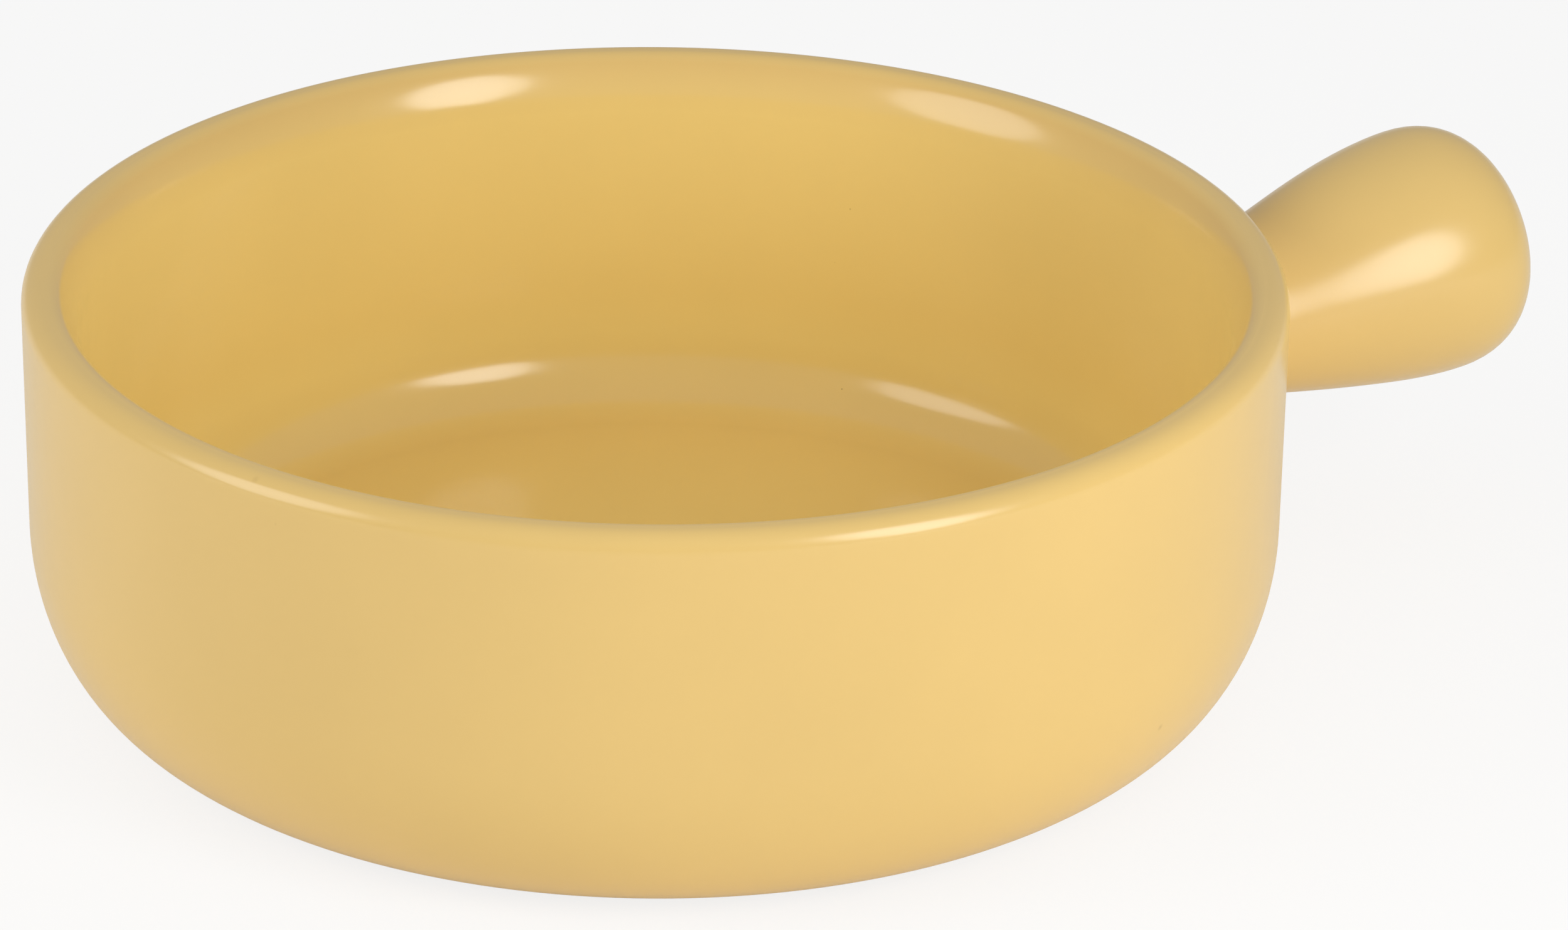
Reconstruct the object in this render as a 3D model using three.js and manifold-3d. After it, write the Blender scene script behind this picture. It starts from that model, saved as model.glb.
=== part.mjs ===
// Round stoneware baking dish with one stick handle.
// Units are millimetres, +Z is up, and the handle points along +X.
// The dish is modelled about the bowl's axis, then moved so that the origin lies on the table,
// under the middle of the whole outline.

import * as THREE from 'three';
import { mergeVertices } from 'three/addons/utils/BufferGeometryUtils.js';
import Module from 'manifold-3d';

// Bowl, measured over the glaze
const RIM_DIAMETER = 150;
const RIM_HEIGHT = 51;
const RIM_FLAT = 0.8;
const RIM_OUTER_ROUND = 2.3;
const RIM_INNER_ROUND = 2.0;
const LIP_CURVE = 11;
const LIP_TURN = THREE.MathUtils.degToRad(56);
const SWEEP_RADIUS = 30;
const SWEEP_TURN = THREE.MathUtils.degToRad(16);
const COVE_RADIUS = 9;
const CORNER_RUN = 13;
const CORNER_RISE = 20;
const FLOOR_HEIGHT = 4.4;

// Foot ring and the shallow recess inside it
const FOOT_HEIGHT = 1.0;
const FOOT_WIDTH = 5;
const FOOT_CHAMFER = 0.4;
const RECESS_HEIGHT = 0.7;
const RECESS_SLOPE = 1.5;

// Handle, a body of revolution on an axis that climbs away from the wall
const HANDLE_HEIGHT = 29.5;
const HANDLE_TILT = THREE.MathUtils.degToRad(8);
const HANDLE_LENGTH = 44.9;
const HANDLE_WALL = 4.5;
const NECK_RADIUS = 10.2;
const NECK_HOLD = 4;
const BULB_RADIUS = 15.7;
const BULB_HOLD = 11;
const BULB_CAP = 11.5;
const CAP_FULLNESS = 0.66;
const ROOT_FILLET = 4;
const ROOT_SETTLE = 20;
const FEATHER = THREE.MathUtils.degToRad(25);
const VENT_DIAMETER = 4;
const VENT_REACH = 15;

// Coats and clearances
const GLAZE = 0.5;
const GLAZE_GAP = 0.2;
const SEAT_GAP = 0.3;

// Facets, rounds of the search for the wall, and how close two vertices are one
const BOWL_SIDES = 60;
const HANDLE_SIDES = 28;
const VENT_SIDES = 12;
const SMALL_ARC = 3;
const LARGE_ARC = 6;
const WALL_ROUNDS = 8;
const MERGE_WITHIN = 1e-4;

// Sizes that follow from the ones above
const CLAY = GLAZE + GLAZE_GAP;
const RIM_RADIUS = RIM_DIAMETER / 2;
const RIM_INNER = RIM_RADIUS - RIM_OUTER_ROUND - RIM_FLAT;
const CORNER_CENTRE = new THREE.Vector2(RIM_RADIUS - CORNER_RUN, FOOT_HEIGHT + CORNER_RISE);
const ROUND_CENTRE = new THREE.Vector2(RIM_INNER, RIM_HEIGHT - RIM_INNER_ROUND);
const LIP_CENTRE = new THREE.Vector2(Math.sin(LIP_TURN), -Math.cos(LIP_TURN))
  .multiplyScalar(LIP_CURVE - RIM_INNER_ROUND)
  .add(ROUND_CENTRE);
const COVE_STEP = new THREE.Vector2(Math.cos(SWEEP_TURN), -Math.sin(SWEEP_TURN))
  .multiplyScalar(SWEEP_RADIUS - COVE_RADIUS);
const SWEEP_CENTRE = new THREE.Vector2(
  LIP_CENTRE.x - LIP_CURVE - SWEEP_RADIUS,
  FLOOR_HEIGHT + COVE_RADIUS - COVE_STEP.y,
);
const COVE_CENTRE = SWEEP_CENTRE.clone().add(COVE_STEP);
const FOOT_RADIUS = CORNER_CENTRE.x - SEAT_GAP;
const BULB_STATION = HANDLE_LENGTH - BULB_CAP;

const SATIN_YELLOW = new THREE.MeshStandardMaterial({ color: 0xe9c57b, roughness: 0.32, metalness: 0 });
const GLOSS_YELLOW = new THREE.MeshStandardMaterial({ color: 0xe4c179, roughness: 0.14, metalness: 0 });
const BISQUE = new THREE.MeshStandardMaterial({ color: 0xd9c7a4, roughness: 0.9, metalness: 0 });

const wasm = await Module();
wasm.setup();

// Points along an arc of an ellipse, with angles in quarter turns from the outward direction
function arc(centre, runRadius, riseRadius, startQuarter, endQuarter, steps) {
  const start = startQuarter * Math.PI / 2;
  const end = endQuarter * Math.PI / 2;
  const curve = new THREE.EllipseCurve(centre.x, centre.y, runRadius, riseRadius, start, end, end < start);
  return curve.getPoints(steps);
}

function point(radius, height) {
  return new THREE.Vector2(radius, height);
}

// One closed body: shared vertices merged, flat triangles dropped, faces turned outwards
function closedBody(geometry) {
  geometry.deleteAttribute('normal');
  geometry.deleteAttribute('uv');
  const merged = mergeVertices(geometry, MERGE_WITHIN);
  const corners = merged.getIndex().array;
  const kept = [];
  for (let i = 0; i < corners.length; i += 3) {
    const [a, b, c] = corners.subarray(i, i + 3);
    if (a !== b && b !== c && c !== a) {
      kept.push(a, b, c);
    }
  }
  if (enclosedVolume(merged.getAttribute('position'), kept) < 0) {
    kept.reverse();
  }
  merged.setIndex(kept);
  merged.computeVertexNormals();
  return merged;
}

function enclosedVolume(position, corners) {
  const [a, b, c] = [new THREE.Vector3(), new THREE.Vector3(), new THREE.Vector3()];
  let volume = 0;
  for (let i = 0; i < corners.length; i += 3) {
    a.fromBufferAttribute(position, corners[i]);
    b.fromBufferAttribute(position, corners[i + 1]);
    c.fromBufferAttribute(position, corners[i + 2]);
    volume += a.dot(b.cross(c)) / 6;
  }
  return volume;
}

function toSolid(geometry) {
  const body = closedBody(geometry);
  const vertProperties = new Float32Array(body.getAttribute('position').array);
  const triVerts = new Uint32Array(body.getIndex().array);
  return new wasm.Manifold(new wasm.Mesh({ numProp: 3, vertProperties, triVerts }));
}

// The geometry with the cutter taken away from it
function cutAway(geometry, cutter) {
  const mesh = toSolid(geometry).subtract(toSolid(cutter)).getMesh();
  const result = new THREE.BufferGeometry();
  result.setAttribute('position', new THREE.BufferAttribute(mesh.vertProperties, 3));
  result.setIndex(new THREE.BufferAttribute(mesh.triVerts, 1));
  result.computeVertexNormals();
  return result;
}

// Bowl profiles, each at a depth under the finished surface

function outsideProfile(depth) {
  const roundCentre = point(RIM_RADIUS - RIM_OUTER_ROUND, RIM_HEIGHT - RIM_OUTER_ROUND);
  const roundRadius = RIM_OUTER_ROUND - depth;
  return [
    ...arc(CORNER_CENTRE, CORNER_RUN - depth, CORNER_RISE - depth, -1, 0, LARGE_ARC),
    ...arc(roundCentre, roundRadius, roundRadius, 0, 1, SMALL_ARC),
    point(RIM_INNER + GLAZE_GAP, RIM_HEIGHT - depth),
  ];
}

function insideProfile(depth) {
  const handover = 1 + LIP_TURN / (Math.PI / 2);
  const roundRadius = RIM_INNER_ROUND - depth;
  const curveRadius = LIP_CURVE - depth;
  const sweepEnd = -SWEEP_TURN / (Math.PI / 2);
  const sweepRadius = SWEEP_RADIUS + depth;
  const coveRadius = COVE_RADIUS + depth;
  return [
    ...arc(ROUND_CENTRE, roundRadius, roundRadius, 1, handover, SMALL_ARC),
    ...arc(LIP_CENTRE, curveRadius, curveRadius, handover, 2, SMALL_ARC).slice(1),
    ...arc(SWEEP_CENTRE, sweepRadius, sweepRadius, 0, sweepEnd, SMALL_ARC),
    ...arc(COVE_CENTRE, coveRadius, coveRadius, sweepEnd, -1, LARGE_ARC - 1).slice(1),
    point(0, FLOOR_HEIGHT - depth),
  ];
}

// Underside of the clay, from the axis out over the foot ring
function undersideProfile() {
  const footInner = FOOT_RADIUS - FOOT_WIDTH;
  const recess = RECESS_HEIGHT + CLAY;
  return [
    point(0, recess),
    point(footInner - RECESS_SLOPE, recess),
    point(footInner, FOOT_CHAMFER),
    point(footInner + FOOT_CHAMFER, 0),
    point(FOOT_RADIUS - FOOT_CHAMFER, 0),
    point(FOOT_RADIUS, FOOT_CHAMFER),
    point(FOOT_RADIUS, FOOT_HEIGHT + CLAY),
  ];
}

// Turns a profile of radius and height about the bowl's axis
function spinBowl(profile) {
  const geometry = new THREE.LatheGeometry(profile, BOWL_SIDES);
  geometry.rotateX(Math.PI / 2);
  return geometry;
}

function bowlBody() {
  return spinBowl([...undersideProfile(), ...outsideProfile(CLAY), ...insideProfile(CLAY)]);
}

function insideGlaze() {
  return spinBowl([...insideProfile(0).reverse(), ...insideProfile(GLAZE)]);
}

function outsideGlaze() {
  const outer = outsideProfile(0);
  return spinBowl([...outer, ...outsideProfile(GLAZE).reverse(), outer[0]]);
}

function baseGlaze() {
  const edge = FOOT_RADIUS - FOOT_WIDTH - RECESS_SLOPE - SEAT_GAP;
  return spinBowl([
    point(0, RECESS_HEIGHT),
    point(edge, RECESS_HEIGHT),
    point(edge, RECESS_HEIGHT + GLAZE),
    point(0, RECESS_HEIGHT + GLAZE),
  ]);
}

// Handle profiles hold the distance from the handle's axis and the distance out from the wall

// From the tip to the top of the root fillet, at a depth under the finished surface
function shankProfile(depth) {
  const cap = new THREE.CubicBezierCurve(
    point(0, HANDLE_LENGTH - depth),
    point((BULB_RADIUS - depth) * CAP_FULLNESS, HANDLE_LENGTH - depth),
    point(BULB_RADIUS - depth, BULB_STATION + (BULB_CAP - depth) * CAP_FULLNESS),
    point(BULB_RADIUS - depth, BULB_STATION),
  );
  const swell = new THREE.CubicBezierCurve(
    point(BULB_RADIUS - depth, BULB_STATION),
    point(BULB_RADIUS - depth, BULB_STATION - BULB_HOLD),
    point(NECK_RADIUS - depth, ROOT_FILLET + NECK_HOLD),
    point(NECK_RADIUS - depth, ROOT_FILLET),
  );
  return [...cap.getPoints(LARGE_ARC), ...swell.getPoints(LARGE_ARC).slice(1)];
}

// The fillet between neck and wall, trimmed at both ends by an angle
function filletProfile(depth, trim) {
  const centre = point(NECK_RADIUS + ROOT_FILLET, ROOT_FILLET);
  const radius = ROOT_FILLET + depth;
  const trimQuarters = trim / (Math.PI / 2);
  return arc(centre, radius, radius, 2 + trimQuarters, 3 - trimQuarters, SMALL_ARC + 1);
}

// Radius of the bowl's outer wall at a height, over the glaze
function outerRadius(height) {
  const drop = THREE.MathUtils.clamp((CORNER_CENTRE.y - height) / CORNER_RISE, 0, 1);
  return CORNER_CENTRE.x + CORNER_RUN * Math.sqrt(1 - drop ** 2);
}

// Distance along the handle's axis from its foot to the wall, at an offset to the side and up
function wallDistance(side, up) {
  const run = Math.cos(HANDLE_TILT);
  const rise = Math.sin(HANDLE_TILT);
  let distance = 0;
  for (let round = 0; round < WALL_ROUNDS; round += 1) {
    const height = HANDLE_HEIGHT + distance * rise + up * run;
    const wall = Math.sqrt(outerRadius(height) ** 2 - side ** 2);
    distance += (wall - (RIM_RADIUS + distance * run - up * rise)) / run;
  }
  return distance;
}

// Turns a profile about the handle's axis, then slides its root to follow the curved wall.
// The slide fades out along the neck, so that the bulb stays round and square to the axis.
function spinHandle(profile) {
  const geometry = new THREE.LatheGeometry(profile, HANDLE_SIDES);
  const position = geometry.getAttribute('position');
  for (let i = 0; i < position.count; i += 1) {
    const side = position.getX(i);
    const up = position.getZ(i);
    const out = position.getY(i);
    const hold = 1 - THREE.MathUtils.smoothstep(out, ROOT_FILLET, ROOT_FILLET + ROOT_SETTLE);
    position.setXYZ(i, out + hold * wallDistance(side, up), side, up);
  }
  return geometry;
}

function ventCutter() {
  const cutter = new THREE.CylinderGeometry(VENT_DIAMETER / 2, VENT_DIAMETER / 2, BULB_RADIUS, VENT_SIDES);
  cutter.rotateX(Math.PI / 2);
  cutter.translate(VENT_REACH, 0, -BULB_RADIUS / 2 - VENT_DIAMETER / 2);
  return cutter;
}

// Hollow casting, open at the root, where it is stuck to the wall
function handleCasting() {
  const root = SEAT_GAP - CLAY;
  const cavity = CLAY + HANDLE_WALL;
  const casting = spinHandle([
    ...shankProfile(CLAY),
    point(NECK_RADIUS - CLAY, root),
    point(NECK_RADIUS - cavity, root),
    ...shankProfile(cavity).reverse(),
  ]);
  return cutAway(casting, ventCutter());
}

// Bead of slip in the corner between neck and wall
function slipCollar() {
  const bore = NECK_RADIUS - CLAY + GLAZE_GAP;
  const seat = SEAT_GAP - CLAY;
  const fillet = filletProfile(CLAY, FEATHER);
  const top = fillet[0];
  const edge = fillet[fillet.length - 1];
  return spinHandle([...fillet, point(edge.x, seat), point(bore, seat), point(bore, top.y), top]);
}

function handleGlaze() {
  const outer = [...shankProfile(0), ...filletProfile(0, 0).slice(1)];
  const inner = [...shankProfile(GLAZE), ...filletProfile(GLAZE, 0).slice(1)];
  return cutAway(spinHandle([...outer, ...inner.reverse()]), ventCutter());
}

// Plug that opens the outside coat where the handle's coat runs down on to the wall
function rootCutter() {
  const radius = NECK_RADIUS + ROOT_FILLET + SEAT_GAP;
  const cutter = new THREE.LatheGeometry([
    point(0, -2 * ROOT_FILLET),
    point(radius, -2 * ROOT_FILLET),
    point(radius, 2 * ROOT_FILLET),
    point(0, 2 * ROOT_FILLET),
  ], HANDLE_SIDES);
  const toSideAndUp = new THREE.Matrix4().set(0, 1, 0, 0, 1, 0, 0, 0, 0, 0, 1, 0, 0, 0, 0, 1);
  return cutter.applyMatrix4(toSideAndUp);
}

function piece(name, geometry, material) {
  const mesh = new THREE.Mesh(closedBody(geometry), material);
  mesh.name = name;
  return mesh;
}

const handle = new THREE.Group();
handle.position.set(RIM_RADIUS, 0, HANDLE_HEIGHT);
handle.rotation.y = -HANDLE_TILT;
handle.updateMatrix();
handle.add(
  piece('handle_casting', handleCasting(), BISQUE),
  piece('slip_collar', slipCollar(), BISQUE),
  piece('handle_glaze', handleGlaze(), SATIN_YELLOW),
);

const openedCoat = cutAway(outsideGlaze(), rootCutter().applyMatrix4(handle.matrix));

const dish = new THREE.Group();
dish.add(
  piece('bowl_body', bowlBody(), BISQUE),
  piece('inside_glaze', insideGlaze(), GLOSS_YELLOW),
  piece('outside_glaze', openedCoat, SATIN_YELLOW),
  piece('base_glaze', baseGlaze(), SATIN_YELLOW),
  handle,
);

const outline = new THREE.Box3().setFromObject(dish, true);
dish.position.x = -(outline.min.x + outline.max.x) / 2;

export default dish;
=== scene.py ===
# %% [markdown]
# # A round stoneware baking dish in yellow glaze
#
# The dish is a straight-sided bowl with a rounded base corner, a thick rounded rim and one fat stick
# handle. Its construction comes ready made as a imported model, in metres, with +X along the handle and
# +Z up. This lesson makes what the eye meets: smooth coats of glaze, the bare clay of the foot, and
# the light.

import math

import bmesh
import bpy
from mathutils import Matrix, Vector


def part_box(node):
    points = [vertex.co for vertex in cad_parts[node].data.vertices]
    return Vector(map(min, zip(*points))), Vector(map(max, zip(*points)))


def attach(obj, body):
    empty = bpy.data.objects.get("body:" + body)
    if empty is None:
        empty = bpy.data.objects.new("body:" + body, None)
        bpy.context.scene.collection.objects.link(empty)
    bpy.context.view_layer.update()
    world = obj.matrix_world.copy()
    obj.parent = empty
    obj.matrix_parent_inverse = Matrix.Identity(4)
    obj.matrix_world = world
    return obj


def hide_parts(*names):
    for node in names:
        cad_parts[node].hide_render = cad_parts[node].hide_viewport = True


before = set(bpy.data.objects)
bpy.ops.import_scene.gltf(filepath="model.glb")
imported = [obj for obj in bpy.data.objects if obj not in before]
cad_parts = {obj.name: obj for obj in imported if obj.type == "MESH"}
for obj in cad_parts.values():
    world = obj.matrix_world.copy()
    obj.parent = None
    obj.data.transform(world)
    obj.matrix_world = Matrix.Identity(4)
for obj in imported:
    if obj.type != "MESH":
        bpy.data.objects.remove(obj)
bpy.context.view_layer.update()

# %% [markdown]
# ## Sizes
#
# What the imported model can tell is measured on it: the bowl's axis, the rim, the floor and the foot.
# The roundings can't be read off a box, so they are named here in millimetres, as the construction
# has them. Every skin below is drawn from the same few values, at its own depth under the finished
# surface.

# %% Read the bowl's sizes
MM = 0.001
GLAZE = 0.5 * MM
GLAZE_GAP = 0.2 * MM
CLAY = GLAZE + GLAZE_GAP

coat_low, coat_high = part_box("outside_glaze")
lining_low, lining_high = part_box("inside_glaze")
base_low, base_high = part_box("base_glaze")

BOWL_AXIS = Vector(((coat_low.x + coat_high.x) / 2, 0, 0))
RIM_RADIUS = (coat_high.y - coat_low.y) / 2
RIM_HEIGHT = coat_high.z
RIM_INNER = (lining_high.y - lining_low.y) / 2
FLOOR_HEIGHT = lining_low.z + GLAZE
FOOT_HEIGHT = coat_low.z
RECESS_HEIGHT = base_low.z
RECESS_RADIUS = (base_high.y - base_low.y) / 2
print("bowl axis at", BOWL_AXIS.x, "rim radius", RIM_RADIUS, "rim height", RIM_HEIGHT)

# %% Name the roundings and work out their centres
RIM_OUTER_ROUND = 2.3 * MM
RIM_INNER_ROUND = 2 * MM
LIP_CURVE = 11 * MM
LIP_TURN = math.radians(56)
SWEEP_RADIUS = 30 * MM
SWEEP_TURN = math.radians(16)
COVE_RADIUS = 9 * MM
CORNER_RUN = 13 * MM
CORNER_RISE = 20 * MM

CORNER_CENTRE = Vector((RIM_RADIUS - CORNER_RUN, 0, FOOT_HEIGHT + CORNER_RISE))

# The lip's long curve takes over from the tight edge where both point the same way.
EDGE_CENTRE = Vector((RIM_INNER, 0, RIM_HEIGHT - RIM_INNER_ROUND))
LIP_STEP = LIP_CURVE - RIM_INNER_ROUND
LIP_CENTRE = EDGE_CENTRE + LIP_STEP * Vector((math.sin(LIP_TURN), 0, -math.cos(LIP_TURN)))
INNER_WALL = LIP_CENTRE.x - LIP_CURVE

# The cove takes over from the wall's slow sweep in the same way.
COVE_STEP = (SWEEP_RADIUS - COVE_RADIUS) * Vector((math.cos(SWEEP_TURN), 0, -math.sin(SWEEP_TURN)))
SWEEP_CENTRE = Vector((INNER_WALL - SWEEP_RADIUS, 0, FLOOR_HEIGHT + COVE_RADIUS - COVE_STEP.z))
COVE_CENTRE = SWEEP_CENTRE + COVE_STEP
print("the wall is", RIM_RADIUS - INNER_WALL, "thick and the flat floor's radius is", COVE_CENTRE.x)

# %% [markdown]
# ## A pen made of operators
#
# A section is a wire in the XZ plane: X is the distance from the axis and Z the height. It could be
# typed as a list of points, but then every rounding would be numbers that nobody can change. Here a
# vertex is the pen: extruding it draws a straight line, and spinning it about a centre draws an arc.

# %% Pen strokes
TURN = math.tau
HALF = TURN / 2
QUARTER = TURN / 4
SAMPLE_STEPS = 4


def start_at(bm, radius, height):
    """Puts the pen down, and returns its vertex."""
    return bmesh.ops.create_vert(bm, co=(radius, 0, height))["vert"][0]


def line_to(bm, pen, radius, height, cuts=0):
    """Draws a straight line, in equal parts if it has cuts, and returns its end."""
    start = pen.co.copy()
    end = Vector((radius, 0, height))
    for part in range(1, cuts + 2):
        pen = bmesh.ops.extrude_vert_indiv(bm, verts=[pen])["verts"][0]
        pen.co = start.lerp(end, part / (cuts + 1))
    return pen


def arc_by(bm, pen, centre, angle, steps, run_over_rise=1.0):
    """Sweeps the pen about a centre, from +X towards +Z, and returns the arc's end."""
    before = set(bm.verts)
    swept = bmesh.ops.spin(bm, geom=[pen], cent=centre, axis=(0, -1, 0), angle=angle, steps=steps)
    drawn = [vert for vert in bm.verts if vert not in before]
    bmesh.ops.scale(
        bm, vec=(run_over_rise, 1, 1), space=Matrix.Translation(-Vector(centre)), verts=drawn
    )
    return next(item for item in swept["geom_last"] if isinstance(item, bmesh.types.BMVert))


def join(bm, first, second):
    """Closes a section with an edge between two pens."""
    bmesh.ops.contextual_create(bm, geom=[first, second])


sample = bmesh.new()
sample_end = arc_by(sample, start_at(sample, 1, 0), (0, 0, 0), QUARTER, SAMPLE_STEPS)
print("a quarter turn takes the pen from +X to", [round(place, 3) for place in sample_end.co])
sample.free()

# %% [markdown]
# ## From a section to a piece
#
# The bowl is formed in a mould that turns on a wheel, and the spin operator turns a section the same
# way. Its last copy falls on the first one, so the doubles are merged, and only then are the normals
# made to face outwards. A Screw modifier would turn the section too, but it leaves the mesh unfinished
# until it is applied. A finished piece rides on the dish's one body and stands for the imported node
# whose place it takes.

# %% Spin a section and make it a piece
SIDES = 192
MERGE_DISTANCE = 0.002 * MM
CREASE = math.radians(40)


def spin_round(bm, sides):
    """Turns the section once round the Z axis, into a closed skin that faces outwards."""
    section = bm.verts[:] + bm.edges[:]
    bmesh.ops.spin(
        bm, geom=section, cent=(0, 0, 0), axis=(0, 0, 1), angle=TURN, steps=sides, use_merge=True
    )
    bmesh.ops.remove_doubles(bm, verts=bm.verts[:], dist=MERGE_DISTANCE)
    bmesh.ops.recalc_face_normals(bm, faces=bm.faces[:])


def make_piece(name, bm, nodes):
    """Makes the mesh an object that rides on the dish and stands for the named nodes."""
    mesh = bpy.data.meshes.new(name)
    bm.to_mesh(mesh)
    bm.free()
    mesh.shade_smooth()
    mesh.set_sharp_from_angle(angle=CREASE)
    piece = bpy.data.objects.new(name, mesh)
    bpy.context.scene.collection.objects.link(piece)
    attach(piece, "root")
    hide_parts(*nodes)
    print(name, "has", len(mesh.polygons), "faces")
    return piece


print("a skin has", SIDES, "sides, each", TURN * RIM_RADIUS / SIDES, "wide at the rim")

# %% [markdown]
# ## The bowl's two sections
#
# Outside, the section climbs from the foot through a tall rounded corner, up a straight wall, over
# the round of the rim and on to its narrow flat. Inside, it turns over a tight edge into one long
# curve and drops down the wall. Low down the wall sweeps in a little before a tight cove turns it
# into the floor. The glaze's two faces and the clay are the same drawing at different depths.

# %% Draw the sections at a depth
# How many steps each arc takes, and how many cuts each line has.
CORNER_STEPS = 28
ROUND_STEPS = 8
LIP_STEPS = 14
SWEEP_STEPS = 8
COVE_STEPS = 16
WALL_CUTS = 15
FLAT_CUTS = 6
NARROW_CUTS = 2


def draw_outside(bm, depth):
    """Draws from the foot to the seam on the rim, and returns both ends."""
    foot = start_at(bm, CORNER_CENTRE.x, FOOT_HEIGHT + depth)
    squeeze = (CORNER_RUN - depth) / (CORNER_RISE - depth)
    pen = arc_by(bm, foot, CORNER_CENTRE, QUARTER, CORNER_STEPS, squeeze)
    pen = line_to(bm, pen, RIM_RADIUS - depth, RIM_HEIGHT - RIM_OUTER_ROUND, WALL_CUTS)
    round_centre = (RIM_RADIUS - RIM_OUTER_ROUND, 0, RIM_HEIGHT - RIM_OUTER_ROUND)
    pen = arc_by(bm, pen, round_centre, QUARTER, ROUND_STEPS)
    return foot, line_to(bm, pen, RIM_INNER, RIM_HEIGHT - depth, NARROW_CUTS)


def draw_inside(bm, depth):
    """Draws from the seam on the rim to the middle of the floor, and returns both ends."""
    seam = start_at(bm, RIM_INNER, RIM_HEIGHT - depth)
    pen = arc_by(bm, seam, EDGE_CENTRE, LIP_TURN, ROUND_STEPS)
    pen = arc_by(bm, pen, LIP_CENTRE, QUARTER - LIP_TURN, LIP_STEPS)
    pen = line_to(bm, pen, INNER_WALL + depth, SWEEP_CENTRE.z, WALL_CUTS)
    pen = arc_by(bm, pen, SWEEP_CENTRE, -SWEEP_TURN, SWEEP_STEPS)
    pen = arc_by(bm, pen, COVE_CENTRE, SWEEP_TURN - QUARTER, COVE_STEPS)
    return seam, line_to(bm, pen, 0, FLOOR_HEIGHT - depth, FLAT_CUTS)


sample = bmesh.new()
draw_outside(sample, 0)
draw_inside(sample, 0)
print("the two sections have", len(sample.verts), "points")
sample.free()

# %% [markdown]
# ## The lining and the base coat
#
# The inside of the dish is glazed by pouring, and this lining is a skin half a millimetre thick. A
# Solidify modifier could thicken one sheet, but two sections at two depths, joined at the seam and
# spun, keep every arc true. The base coat inside the foot ring is a thin disc with a rounded edge.

# %% Inside lining
bm = bmesh.new()
seam_top, _ = draw_inside(bm, 0)
seam_under, _ = draw_inside(bm, GLAZE)
join(bm, seam_top, seam_under)
spin_round(bm, SIDES)
bmesh.ops.translate(bm, vec=BOWL_AXIS, verts=bm.verts[:])
lining = make_piece("inside_lining", bm, ["inside_glaze"])

# %% Base coat
BEAD_STEPS = 6
BEAD_RADIUS = GLAZE / 2

bm = bmesh.new()
pen = start_at(bm, 0, RECESS_HEIGHT)
pen = line_to(bm, pen, RECESS_RADIUS - BEAD_RADIUS, RECESS_HEIGHT, FLAT_CUTS)
bead_centre = (RECESS_RADIUS - BEAD_RADIUS, 0, RECESS_HEIGHT + BEAD_RADIUS)
pen = arc_by(bm, pen, bead_centre, HALF, BEAD_STEPS)
line_to(bm, pen, 0, RECESS_HEIGHT + GLAZE, FLAT_CUTS)
spin_round(bm, SIDES)
bmesh.ops.translate(bm, vec=BOWL_AXIS, verts=bm.verts[:])
base_coat = make_piece("base_coat", bm, ["base_glaze"])

# %% [markdown]
# ## Where the handle meets the wall
#
# The handle's axis climbs eight degrees away from a round wall, so its root isn't flat. A Boolean
# could trim it, but then the fillet at the root would be cut off too. Instead the wall's distance
# along that axis is found by a few rounds of correction, and each point of the handle slides by that
# much. The slide fades out along the neck, so that the bulb stays round.

# %% Handle frame
HANDLE_HEIGHT = 29.5 * MM
HANDLE_TILT = math.radians(8)
HANDLE_LENGTH = 44.9 * MM
NECK_RADIUS = 10.2 * MM
BULB_RADIUS = 15.7 * MM
ROOT_FILLET = 4 * MM

RUN = math.cos(HANDLE_TILT)
RISE = math.sin(HANDLE_TILT)
ROOT = BOWL_AXIS + Vector((RIM_RADIUS, 0, HANDLE_HEIGHT))

# The handle is drawn standing up: its own Z becomes the tilted axis, X the side and Y the way up.
HANDLE_PLACE = Matrix(
    ((0, -RISE, RUN, ROOT.x), (1, 0, 0, ROOT.y), (0, RUN, RISE, ROOT.z), (0, 0, 0, 1))
)
print("the handle's tip is at", (HANDLE_PLACE @ Vector((0, 0, HANDLE_LENGTH)))[:])

# %% The slide along the handle
CORRECTIONS = 8
ROOT_SETTLE = 20 * MM


def outer_radius(height):
    """The wall's radius at a height, over the glaze."""
    drop = min(max((CORNER_CENTRE.z - height) / CORNER_RISE, 0), 1)
    return CORNER_CENTRE.x + CORNER_RUN * math.sqrt(1 - drop**2)


def wall_distance(side, up):
    """How far along the handle's axis the wall lies, at an offset to the side and up."""
    distance = 0
    for _ in range(CORRECTIONS):
        height = HANDLE_HEIGHT + distance * RISE + up * RUN
        wall = math.sqrt(outer_radius(height) ** 2 - side**2)
        distance += (wall - (RIM_RADIUS + distance * RUN - up * RISE)) / RUN
    return distance


def slide_to_wall(bm):
    """Slides a handle that stands on the XY plane along Z until its root follows the wall."""
    # The hold goes from one to nothing in a smooth step, without a kink at either end.
    for vert in bm.verts:
        fade = min(max((vert.co.z - ROOT_FILLET) / ROOT_SETTLE, 0), 1)
        hold = 1 - fade * fade * (3 - 2 * fade)
        vert.co.z += hold * wall_distance(vert.co.x, vert.co.y)


print("beside the neck the wall falls back by", -wall_distance(NECK_RADIUS, 0))

# %% [markdown]
# ## The outside coat
#
# The outside is sprayed, and its satin coat ends in a soft bead where the foot was wiped. Under the
# handle's root the coat is open. A Boolean would cut that opening to a clean line, but the handle's own
# coat covers it, so a patch of faces is deleted from both skins and the two holes are bridged.

# %% Outside coat
ROOT_OPENING = 12.6 * MM

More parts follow.
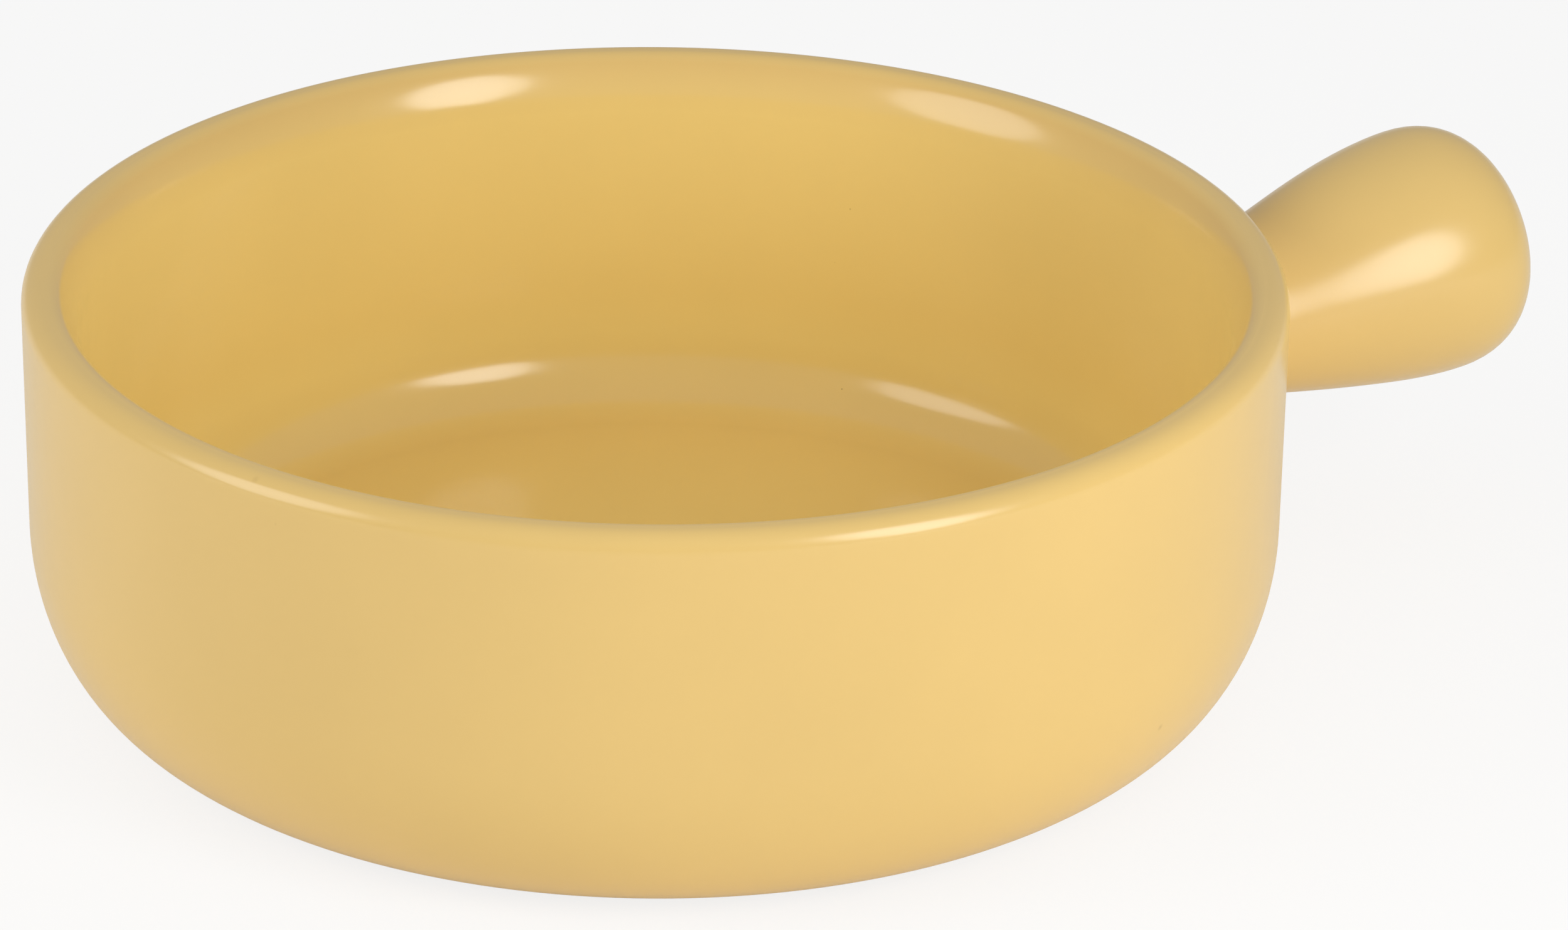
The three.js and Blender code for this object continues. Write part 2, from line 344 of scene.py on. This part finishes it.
bm = bmesh.new()
foot_skin, seam_skin = draw_outside(bm, 0)
foot_back, seam_back = draw_outside(bm, GLAZE)
join(bm, seam_skin, seam_back)
bead_centre = (foot_skin.co + foot_back.co) / 2
bead = arc_by(bm, foot_back, bead_centre, HALF, BEAD_STEPS)
bmesh.ops.remove_doubles(bm, verts=[bead, foot_skin], dist=MERGE_DISTANCE)
spin_round(bm, SIDES)
bmesh.ops.translate(bm, vec=BOWL_AXIS, verts=bm.verts[:])

to_handle = HANDLE_PLACE.inverted()
under_root = []
for face in bm.faces:
    centre = to_handle @ face.calc_center_median()
    if centre.xy.length < ROOT_OPENING and abs(centre.z) < ROOT_SETTLE:
        under_root.append(face)
bmesh.ops.delete(bm, geom=under_root, context="FACES")
hole_edges = [edge for edge in bm.edges if edge.is_boundary]
bmesh.ops.bridge_loops(bm, edges=hole_edges)
bmesh.ops.recalc_face_normals(bm, faces=bm.faces[:])
coat = make_piece("outside_coat", bm, ["outside_glaze"])

# %% [markdown]
# ## The bare clay
#
# Under the glaze is buff stoneware. Only the foot ring shows, wiped clean so that the dish doesn't
# stick to the kiln shelf. A ring alone would do for the eye, but the body is whole here, so that the
# dish is solid wherever it is looked into: the same two sections, deeper by the coat.

# %% Bowl clay with its foot ring
FOOT_CLEARANCE = 0.3 * MM
FOOT_WIDTH = 5 * MM
FOOT_ROUND = 0.6 * MM
RECESS_SLOPE = 1.5 * MM
FOOT_OUTER = CORNER_CENTRE.x - FOOT_CLEARANCE
FOOT_INNER = FOOT_OUTER - FOOT_WIDTH

bm = bmesh.new()
foot, seam = draw_outside(bm, CLAY)
seam_inside, _ = draw_inside(bm, CLAY)
bmesh.ops.remove_doubles(bm, verts=[seam, seam_inside], dist=MERGE_DISTANCE)
pen = line_to(bm, foot, FOOT_OUTER, FOOT_HEIGHT + CLAY)
pen = line_to(bm, pen, FOOT_OUTER, FOOT_ROUND)
pen = arc_by(bm, pen, (FOOT_OUTER - FOOT_ROUND, 0, FOOT_ROUND), -QUARTER, BEAD_STEPS)
pen = line_to(bm, pen, FOOT_INNER + FOOT_ROUND, 0, NARROW_CUTS)
pen = arc_by(bm, pen, (FOOT_INNER + FOOT_ROUND, 0, FOOT_ROUND), -QUARTER, BEAD_STEPS)
pen = line_to(bm, pen, FOOT_INNER - RECESS_SLOPE, RECESS_HEIGHT + CLAY, NARROW_CUTS)
line_to(bm, pen, 0, RECESS_HEIGHT + CLAY, FLAT_CUTS)
spin_round(bm, SIDES)
bmesh.ops.translate(bm, vec=BOWL_AXIS, verts=bm.verts[:])
clay = make_piece("bowl_clay", bm, ["bowl_body"])

# %% [markdown]
# ## The handle's coat
#
# The handle is cast in a mould and swells from a neck to a bulb. Two Bezier strokes give that outline,
# one for the swell and one for the rounded end, and an arc at the root runs out flat on the wall. A
# sphere could be pulled into that shape by hand, but a drawn outline can be measured and corrected. The
# skin is spun, slid to the wall point by point and set in place.

# %% Draw the handle
NECK_HOLD = 4 * MM
BULB_HOLD = 11 * MM
BULB_CAP = 11.5 * MM
CAP_FULLNESS = 0.66
BULB_STATION = HANDLE_LENGTH - BULB_CAP
SWELL_STEPS = 24
CAP_STEPS = 18


def bezier_by(bm, pen, first, second, end, steps):
    """Draws a cubic Bezier stroke from the pen, with points of radius and height, and returns its end."""
    start = pen.co.copy()
    first, second, end = (Vector((radius, 0, height)) for radius, height in (first, second, end))
    for step in range(1, steps + 1):
        t = step / steps
        s = 1 - t
        stroke = s**3 * start + 3 * s * s * t * first + 3 * s * t * t * second + t**3 * end
        pen = bmesh.ops.extrude_vert_indiv(bm, verts=[pen])["verts"][0]
        pen.co = stroke
    return pen


def draw_handle(bm, depth):
    """Draws from the tip to the top of the root fillet, and returns the pen."""
    bulb = BULB_RADIUS - depth
    neck = NECK_RADIUS - depth
    tip = HANDLE_LENGTH - depth
    full = BULB_STATION + (BULB_CAP - depth) * CAP_FULLNESS
    neck_pull = ROOT_FILLET + NECK_HOLD
    bulb_pull = BULB_STATION - BULB_HOLD
    pen = start_at(bm, 0, tip)
    pen = bezier_by(
        bm, pen, (bulb * CAP_FULLNESS, tip), (bulb, full), (bulb, BULB_STATION), CAP_STEPS
    )
    return bezier_by(
        bm, pen, (bulb, bulb_pull), (neck, neck_pull), (neck, ROOT_FILLET), SWELL_STEPS
    )


sample = bmesh.new()
draw_handle(sample, 0)
print("the handle's outline has", len(sample.verts), "points")
sample.free()

# %% Handle coat
HANDLE_SIDES = 96
FEATHER = 0.02 * MM

bm = bmesh.new()
fillet_centre = (NECK_RADIUS + ROOT_FILLET, 0, ROOT_FILLET)
skin = arc_by(bm, draw_handle(bm, 0), fillet_centre, QUARTER, COVE_STEPS)
line_to(bm, skin, NECK_RADIUS - GLAZE, FEATHER, FLAT_CUTS)
line_to(bm, draw_handle(bm, GLAZE), NECK_RADIUS - GLAZE, FEATHER, FLAT_CUTS)
spin_round(bm, HANDLE_SIDES)
slide_to_wall(bm)
bmesh.ops.transform(bm, matrix=HANDLE_PLACE, verts=bm.verts[:])
handle_coat = make_piece("handle_coat", bm, ["handle_glaze"])

# %% [markdown]
# ## The vent
#
# A hollow handle needs a small hole underneath, or the air inside would burst it in the kiln. Faces
# could be deleted and rounded by hand, but a drill and a Boolean leave a clean round edge. The result
# is made the piece's mesh, so that no modifier and no drill are left.

# %% Open the vent
VENT_RADIUS = 2 * MM
VENT_REACH = 15 * MM
VENT_SIDES = 32

bm = bmesh.new()
bmesh.ops.create_cone(
    bm, cap_ends=True, segments=VENT_SIDES, radius1=VENT_RADIUS, radius2=VENT_RADIUS, depth=BULB_RADIUS
)
bmesh.ops.rotate(bm, cent=(0, 0, 0), matrix=Matrix.Rotation(QUARTER, 3, "X"), verts=bm.verts[:])
bmesh.ops.translate(bm, vec=(0, -BULB_RADIUS / 2 - VENT_RADIUS, VENT_REACH), verts=bm.verts[:])
bmesh.ops.transform(bm, matrix=HANDLE_PLACE, verts=bm.verts[:])
drill_mesh = bpy.data.meshes.new("vent_drill")
bm.to_mesh(drill_mesh)
bm.free()
drill = bpy.data.objects.new("vent_drill", drill_mesh)
bpy.context.scene.collection.objects.link(drill)

cut = handle_coat.modifiers.new("vent", "BOOLEAN")
cut.operation = "DIFFERENCE"
cut.object = drill
bpy.context.view_layer.update()
depsgraph = bpy.context.evaluated_depsgraph_get()
opened = bpy.data.meshes.new_from_object(handle_coat.evaluated_get(depsgraph))
handle_coat.modifiers.clear()
handle_coat.data = opened
opened.set_sharp_from_angle(angle=CREASE)
bpy.data.objects.remove(drill)
print("handle coat with its vent has", len(opened.polygons), "faces")

# %% [markdown]
# ## Colours and nodes
#
# Colours are written as the sRGB hex values that a paint program shows, and one function turns them to
# the linear values that a shader needs. A second function adds a node with its options and inputs.

# %% Helpers for materials


def srgb(code):
    """Turns a hex colour into linear red, green, blue and alpha, by the curve of the sRGB standard."""
    channels = [int(code[place : place + 2], 16) / 255 for place in (1, 3, 5)]
    linear = [c / 12.92 if c <= 0.04045 else ((c + 0.055) / 1.055) ** 2.4 for c in channels]
    return (*linear, 1.0)


def add_node(tree, kind, inputs=None, **options):
    """Adds a node, sets its options, and gives its inputs values or other nodes' outputs."""
    node = tree.nodes.new(kind)
    for option, setting in options.items():
        setattr(node, option, setting)
    for socket, value in (inputs or {}).items():
        if isinstance(value, bpy.types.NodeSocket):
            tree.links.new(value, node.inputs[socket])
        else:
            node.inputs[socket].default_value = value
    return node


def new_material(name):
    """Starts a material, and returns it with its tree and an empty output."""
    material = bpy.data.materials.new(name)
    material.use_nodes = True
    tree = material.node_tree
    tree.nodes.clear()
    return material, tree, tree.nodes.new("ShaderNodeOutputMaterial")


print("middle grey in linear light is", srgb("#808080")[0])

# %% [markdown]
# ## Yellow glaze
#
# A coloured glaze is glass with pigment in it, fired on to the clay. Inside it is poured and outside it
# is sprayed, in one even tone, and both coats meet at the seam on the rim. The inside coat is painted
# lighter on the wall, as painted light that makes up for the shade inside the bowl, a little darker on
# the floor as painted shade, and back to the seam's tone at the lip. A painted picture could hold that,
# but a colour ramp over the height needs only a few hex values. Slow clouds show where the coat is
# thicker, and its skin ripples very slightly.

# %% Tones by height


def tone_by_height(tree, place, tones):
    """A colour that changes with height, from pairs of height and hex colour, the lowest first."""
    split = add_node(tree, "ShaderNodeSeparateXYZ", {"Vector": place})
    climb = add_node(
        tree, "ShaderNodeMapRange", {"Value": split.outputs["Z"], "From Max": RIM_HEIGHT}
    )
    ramp = add_node(tree, "ShaderNodeValToRGB", {"Fac": climb.outputs["Result"]})
    stops = ramp.color_ramp.elements
    stops.remove(stops[1])
    for height, code in tones:
        stop = stops.new(height / RIM_HEIGHT)
        stop.color = srgb(code)
    stops.remove(stops[0])
    return ramp.outputs["Color"]


SEAM_TONE = "#e9c577"
# Heights where the lining's painted light begins to fade, and where it is back to the seam's tone.
LIP_SEAM_HEIGHT = RIM_HEIGHT - 1 * MM
PAINTED_LIGHT_TOP = RIM_HEIGHT - 7 * MM
COVE_TOP = FLOOR_HEIGHT + COVE_RADIUS

SPRAYED = [(RIM_HEIGHT, SEAM_TONE)]
# The lining's tones are painted light: lighter on the wall to make up for the shade inside the bowl, and
# painted shade, a little darker on the floor.
POURED_WITH_PAINTED_LIGHT = [
    (FLOOR_HEIGHT, "#efce7b"),
    (COVE_TOP, "#f8db86"),
    (PAINTED_LIGHT_TOP, "#f9dd8c"),
    (LIP_SEAM_HEIGHT, SEAM_TONE),
]
print("the poured coat has", len(POURED_WITH_PAINTED_LIGHT), "tones and the sprayed one", len(SPRAYED))

# %% Clouds and ripples
CLOUD_SIZE = 38 * MM
CLOUD_DETAIL = 3.0
THIN_SHADE = 0.94
THICK_SHADE = 1.06
RIPPLE_SIZE = 9 * MM
RIPPLE_DETAIL = 2.0
RIPPLE_DEPTH = 1 * MM
RIPPLE_STRENGTH = 0.04


def add_clouds(tree, place, colour):
    """Varies a colour's brightness in slow clouds."""
    clouds = add_node(
        tree,
        "ShaderNodeTexNoise",
        {"Vector": place, "Scale": 1 / CLOUD_SIZE, "Detail": CLOUD_DETAIL},
    )
    shade = add_node(
        tree,
        "ShaderNodeMapRange",
        {"Value": clouds.outputs["Fac"], "To Min": THIN_SHADE, "To Max": THICK_SHADE},
    )
    tone = add_node(
        tree, "ShaderNodeHueSaturation", {"Value": shade.outputs["Result"], "Color": colour}
    )
    return tone.outputs["Color"]


def add_ripples(tree, place):
    """Bends the surface's normals in slow, shallow ripples."""
    ripples = add_node(
        tree,
        "ShaderNodeTexNoise",
        {"Vector": place, "Scale": 1 / RIPPLE_SIZE, "Detail": RIPPLE_DETAIL},
    )
    bump = add_node(
        tree,
        "ShaderNodeBump",
        {"Height": ripples.outputs["Fac"], "Strength": RIPPLE_STRENGTH, "Distance": RIPPLE_DEPTH},
    )
    return bump.outputs["Normal"]


print("clouds are", CLOUD_SIZE, "and ripples", RIPPLE_SIZE, "across")

# %% [markdown]
# ## Pinholes and iron spots
#
# Gas leaves a glaze through pinholes, which stay as tiny dark points in the poured coat. Specks of iron
# in the clay melt into faint, wider spots under the sprayed one. Each could be painted on by hand, but
# Voronoi cells strew them evenly over every side: each cell draws two lots, one for whether it holds a
# spot and one for how large the spot is.

# %% Spots
SPOT_SPACING = 8 * MM

# A spot has a colour, a largest radius, and the share of the cells that hold one.
PINHOLE = ("#8a6a2c", 0.25 * MM, 0.6)
IRON_SPOT = ("#d2ac63", 1.0 * MM, 0.15)


def add_spots(tree, place, colour, spot_colour, spot_radius, spot_share):
    """Lays soft round spots over a colour."""
    cells = add_node(tree, "ShaderNodeTexVoronoi", {"Vector": place, "Scale": 1 / SPOT_SPACING})
    lots = add_node(tree, "ShaderNodeSeparateColor", {"Color": cells.outputs["Color"]})
    chosen = add_node(
        tree, "ShaderNodeMath", {0: lots.outputs["Red"], 1: spot_share}, operation="LESS_THAN"
    )
    reach = add_node(
        tree,
        "ShaderNodeMath",
        {0: lots.outputs["Green"], 1: spot_radius / SPOT_SPACING},
        operation="MULTIPLY",
    )
    spot = add_node(
        tree,
        "ShaderNodeMapRange",
        {
            "Value": cells.outputs["Distance"],
            "From Max": reach.outputs[0],
            "To Min": chosen.outputs[0],
            "To Max": 0.0,
        },
        interpolation_type="SMOOTHSTEP",
    )
    spotted = add_node(
        tree,
        "ShaderNodeMix",
        {"Factor": spot.outputs["Result"], "A": colour, "B": srgb(spot_colour)},
        data_type="RGBA",
    )
    return spotted.outputs["Result"]


print("spots lie about", SPOT_SPACING, "apart")

# %% [markdown]
# ## Gloss and satin
#
# The same recipe makes both coats. The poured one is thick enough to flow smooth, so it mirrors the
# lamps with a clear edge. The sprayed one keeps the fine grain of its droplets, so its highlights are
# softer. A bump map could show those droplets, but they are much finer than a pixel, so a higher
# roughness stands for them.

# %% Two glazes
GLAZE_IOR = 1.6
GLOSS_ROUGHNESS = 0.16
SATIN_ROUGHNESS = 0.22


def yellow_glaze(name, roughness, tones, spots):
    """A softly clouded glaze with tones by height and a few spots."""
    material, tree, output = new_material(name)
    place = add_node(tree, "ShaderNodeTexCoord").outputs["Object"]
    colour = tone_by_height(tree, place, tones)
    colour = add_clouds(tree, place, colour)
    colour = add_spots(tree, place, colour, *spots)
    shader = add_node(
        tree,
        "ShaderNodeBsdfPrincipled",
        {
            "Base Color": colour,
            "Roughness": roughness,
            "IOR": GLAZE_IOR,
            "Normal": add_ripples(tree, place),
        },
    )
    tree.links.new(shader.outputs["BSDF"], output.inputs["Surface"])
    return material


# The gloss glaze carries the lining's painted light and shade by height.
gloss_glaze = yellow_glaze("poured_gloss_and_painted_light", GLOSS_ROUGHNESS, POURED_WITH_PAINTED_LIGHT, PINHOLE)
satin_glaze = yellow_glaze("sprayed_satin_glaze", SATIN_ROUGHNESS, SPRAYED, IRON_SPOT)
print("glazes:", gloss_glaze.name, "and", satin_glaze.name)

# %% [markdown]
# ## Bare stoneware
#
# Fired stoneware without glaze is matt and sandy, a pale buff with fine grog and darker grains. Grains
# could be scattered one by one, but a foot ring is narrow and seldom seen. One noise gives both the
# grain's colour and its roughness to the touch, so that they always fit.

# %% Stoneware material
GRAIN_SIZE = 0.6 * MM
GRAIN_DETAIL = 4.0
GRAIN_DEPTH = 0.2 * MM
GRAIN_STRENGTH = 0.3
DARK_GRAIN = "#cdb893"
PALE_GRAIN = "#e6d8bb"
STONEWARE_ROUGHNESS = 0.85


def bare_stoneware():
    """Buff clay with a fine grain in its colour and its surface."""
    material, tree, output = new_material("wiped_bare_stoneware")
    place = add_node(tree, "ShaderNodeTexCoord").outputs["Object"]
    grain = add_node(
        tree,
        "ShaderNodeTexNoise",
        {"Vector": place, "Scale": 1 / GRAIN_SIZE, "Detail": GRAIN_DETAIL},
    )
    tone = add_node(
        tree,
        "ShaderNodeMix",
        {"Factor": grain.outputs["Fac"], "A": srgb(DARK_GRAIN), "B": srgb(PALE_GRAIN)},
        data_type="RGBA",
    )
    bump = add_node(
        tree,
        "ShaderNodeBump",
        {"Height": grain.outputs["Fac"], "Strength": GRAIN_STRENGTH, "Distance": GRAIN_DEPTH},
    )
    shader = add_node(
        tree,
        "ShaderNodeBsdfPrincipled",
        {
            "Base Color": tone.outputs["Result"],
            "Roughness": STONEWARE_ROUGHNESS,
            "Normal": bump.outputs["Normal"],
        },
    )
    tree.links.new(shader.outputs["BSDF"], output.inputs["Surface"])
    return material


stoneware = bare_stoneware()
print("clay:", stoneware.name, "with grains of", GRAIN_SIZE)

# %% [markdown]
# ## Dressing the pieces
#
# The new skins take the glazes, and the bowl's clay takes the stoneware. The hollow handle casting and
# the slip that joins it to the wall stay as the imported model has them, under the handle's coat, and
# take the same bare clay.

# %% Dress the pieces
finishes = {
    lining: gloss_glaze,
    coat: satin_glaze,
    base_coat: satin_glaze,
    handle_coat: satin_glaze,
    clay: stoneware,
    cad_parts["handle_casting"]: stoneware,
    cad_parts["slip_collar"]: stoneware,
}
for piece, finish in finishes.items():
    piece.data.materials.clear()
    piece.data.materials.append(finish)
    print(piece.name, "is finished in", finish.name)

# %% [markdown]
# ## Floor
#
# The dish stands on a wide sheet of pale paper, which isn't part of the dish. The paper could be lit
# until it burns out to white, but then the glaze would burn out too.
# Instead it glows by itself where the camera looks at it, and a little where a shiny surface mirrors
# it. To all other light it is plain paper, and it keeps the dish's shadow.

# %% Floor sheet
FLOOR_SIZE = 3.0
FLOOR_DROP = 0.1 * MM

# The sheet lies a hair under the foot, so that no two faces share a plane.
bm = bmesh.new()
bmesh.ops.create_grid(bm, x_segments=1, y_segments=1, size=FLOOR_SIZE)
bmesh.ops.translate(bm, vec=(0, 0, -FLOOR_DROP), verts=bm.verts[:])
floor_mesh = bpy.data.meshes.new("studio_floor")
bm.to_mesh(floor_mesh)
bm.free()
floor = bpy.data.objects.new("studio_floor", floor_mesh)
bpy.context.scene.collection.objects.link(floor)
print("the floor reaches", FLOOR_SIZE, "to each side")

# %% Floor paper
PAPER = "#faf9f7"
WHITE = "#ffffff"
SEEN_GLOW = 0.82
MIRRORED_GLOW = 0.15

floor_material, tree, output = new_material("pale_paper_floor")
paper = add_node(tree, "ShaderNodeBsdfDiffuse", {"Color": srgb(PAPER)})
glow = add_node(tree, "ShaderNodeEmission", {"Color": srgb(WHITE), "Strength": 1.0})
path = add_node(tree, "ShaderNodeLightPath")
mirrored = add_node(
    tree,
    "ShaderNodeMath",
    {0: path.outputs["Is Glossy Ray"], 1: path.outputs["Is Transmission Ray"]},
    operation="MAXIMUM",
)
reflected = add_node(
    tree, "ShaderNodeMath", {0: mirrored.outputs[0], 1: MIRRORED_GLOW}, operation="MULTIPLY"
)
share = add_node(
    tree,
    "ShaderNodeMath",
    {0: path.outputs["Is Camera Ray"], 1: SEEN_GLOW, 2: reflected.outputs[0]},
    operation="MULTIPLY_ADD",
)
sheet = add_node(
    tree,
    "ShaderNodeMixShader",
    {0: share.outputs[0], 1: paper.outputs["BSDF"], 2: glow.outputs["Emission"]},
)
tree.links.new(sheet.outputs["Shader"], output.inputs["Surface"])
floor_mesh.materials.append(floor_material)
print("the floor is", floor_material.name, "and glows", SEEN_GLOW, "to the camera")

# %% [markdown]
# ## Camera
#
# The photograph was taken from the front left and well above the rim, so that the handle points off to
# the right and away. The lens is long: near and far rim are drawn almost alike. Blender's camera could
# be turned by hand, but here its axes are worked out from an azimuth, an elevation and a slight roll,
# so that each can be corrected by itself.

# %% Camera
PHOTO_WIDTH = 2500
FOCAL_PIXELS = 10080
SENSOR_WIDTH = 36
VIEW_AZIMUTH = math.radians(-27.47)
VIEW_ELEVATION = math.radians(24.66)
VIEW_ROLL = math.radians(0.91)
VIEW_DISTANCE = 760 * MM
AIM_RIGHT = 15.4 * MM
AIM_HEIGHT = 25.5 * MM


def towards(azimuth, elevation):
    """Unit vector from the dish to a place seen at that azimuth and elevation."""
    level = math.cos(elevation)
    return Vector((math.sin(azimuth) * level, -math.cos(azimuth) * level, math.sin(elevation)))


view_back = towards(VIEW_AZIMUTH, VIEW_ELEVATION)
level_right = Vector((math.cos(VIEW_AZIMUTH), math.sin(VIEW_AZIMUTH), 0))
level_up = view_back.cross(level_right)
view_right = math.cos(VIEW_ROLL) * level_right + math.sin(VIEW_ROLL) * level_up
view_up = view_back.cross(view_right)
aim = BOWL_AXIS + AIM_RIGHT * level_right + Vector((0, 0, AIM_HEIGHT))

camera_data = bpy.data.cameras.new("camera")
camera_data.lens = SENSOR_WIDTH * FOCAL_PIXELS / PHOTO_WIDTH
camera_data.sensor_width = SENSOR_WIDTH
camera = bpy.data.objects.new("camera", camera_data)
turned = Matrix((view_right, view_up, view_back)).transposed().to_4x4()
camera.matrix_world = Matrix.Translation(aim + VIEW_DISTANCE * view_back) @ turned
bpy.context.scene.collection.objects.link(camera)
bpy.context.scene.camera = camera
print("the camera's lens is", camera_data.lens, "mm and it stands", VIEW_DISTANCE, "from the dish")

# %% [markdown]
# ## Light
#
# Two soft boxes light the dish, one to each side of the camera. Glaze is a mirror, so the bright marks
# on rim, lip and cove are small pictures of the boxes, and they tell where the boxes stood. The room
# gives the rest: a pale sky, brighter overhead, that reaches down into the bowl. A sky of one strength
# would be simpler, but then the floor of the dish and its lower wall would look alike. The camera itself
# sees the sky as plain white.

# %% Soft boxes
bowl_middle = BOWL_AXIS + Vector((0, 0, RIM_HEIGHT / 2))


def soft_box(name, azimuth, elevation, distance, width, height, watts):
    """Stands an oval soft box at an angle from the camera's side, in degrees, facing the bowl."""
    lamp = bpy.data.lights.new(name, "AREA")
    lamp.shape = "ELLIPSE"
    lamp.size = width
    lamp.size_y = height
    lamp.energy = watts
    box = bpy.data.objects.new(name, lamp)
    aimed = towards(VIEW_AZIMUTH + math.radians(azimuth), math.radians(elevation))
    box.location = bowl_middle + distance * aimed
    box.rotation_euler = aimed.to_track_quat("Z", "Y").to_euler()
    box.visible_camera = False
    bpy.context.scene.collection.objects.link(box)
    print(name, "stands at", box.location[:])


soft_box("right_box", azimuth=44, elevation=23, distance=0.50, width=0.22, height=0.36, watts=1.04)
soft_box("left_box", azimuth=-68, elevation=23, distance=0.60, width=0.36, height=0.42, watts=1.02)

# %% Sky
HORIZON_STRENGTH = 0.38
ZENITH_STRENGTH = 0.58

world = bpy.data.worlds.new("studio")
world.use_nodes = True
tree = world.node_tree
tree.nodes.clear()
direction = add_node(tree, "ShaderNodeTexCoord").outputs["Generated"]
climb = add_node(tree, "ShaderNodeSeparateXYZ", {"Vector": direction})
lit = add_node(
    tree,
    "ShaderNodeMapRange",
    {"Value": climb.outputs["Z"], "To Min": HORIZON_STRENGTH, "To Max": ZENITH_STRENGTH},
)
path = add_node(tree, "ShaderNodeLightPath")
seen = add_node(
    tree,
    "ShaderNodeMath",
    {0: path.outputs["Is Camera Ray"], 1: lit.outputs["Result"]},
    operation="MAXIMUM",
)
sky = add_node(tree, "ShaderNodeBackground", {"Color": srgb(WHITE), "Strength": seen.outputs[0]})
add_node(tree, "ShaderNodeOutputWorld", {"Surface": sky.outputs["Background"]})
bpy.context.scene.world = world
bpy.context.scene.view_settings.view_transform = "Standard"
print("the sky lights with", HORIZON_STRENGTH, "at the horizon and", ZENITH_STRENGTH, "overhead")
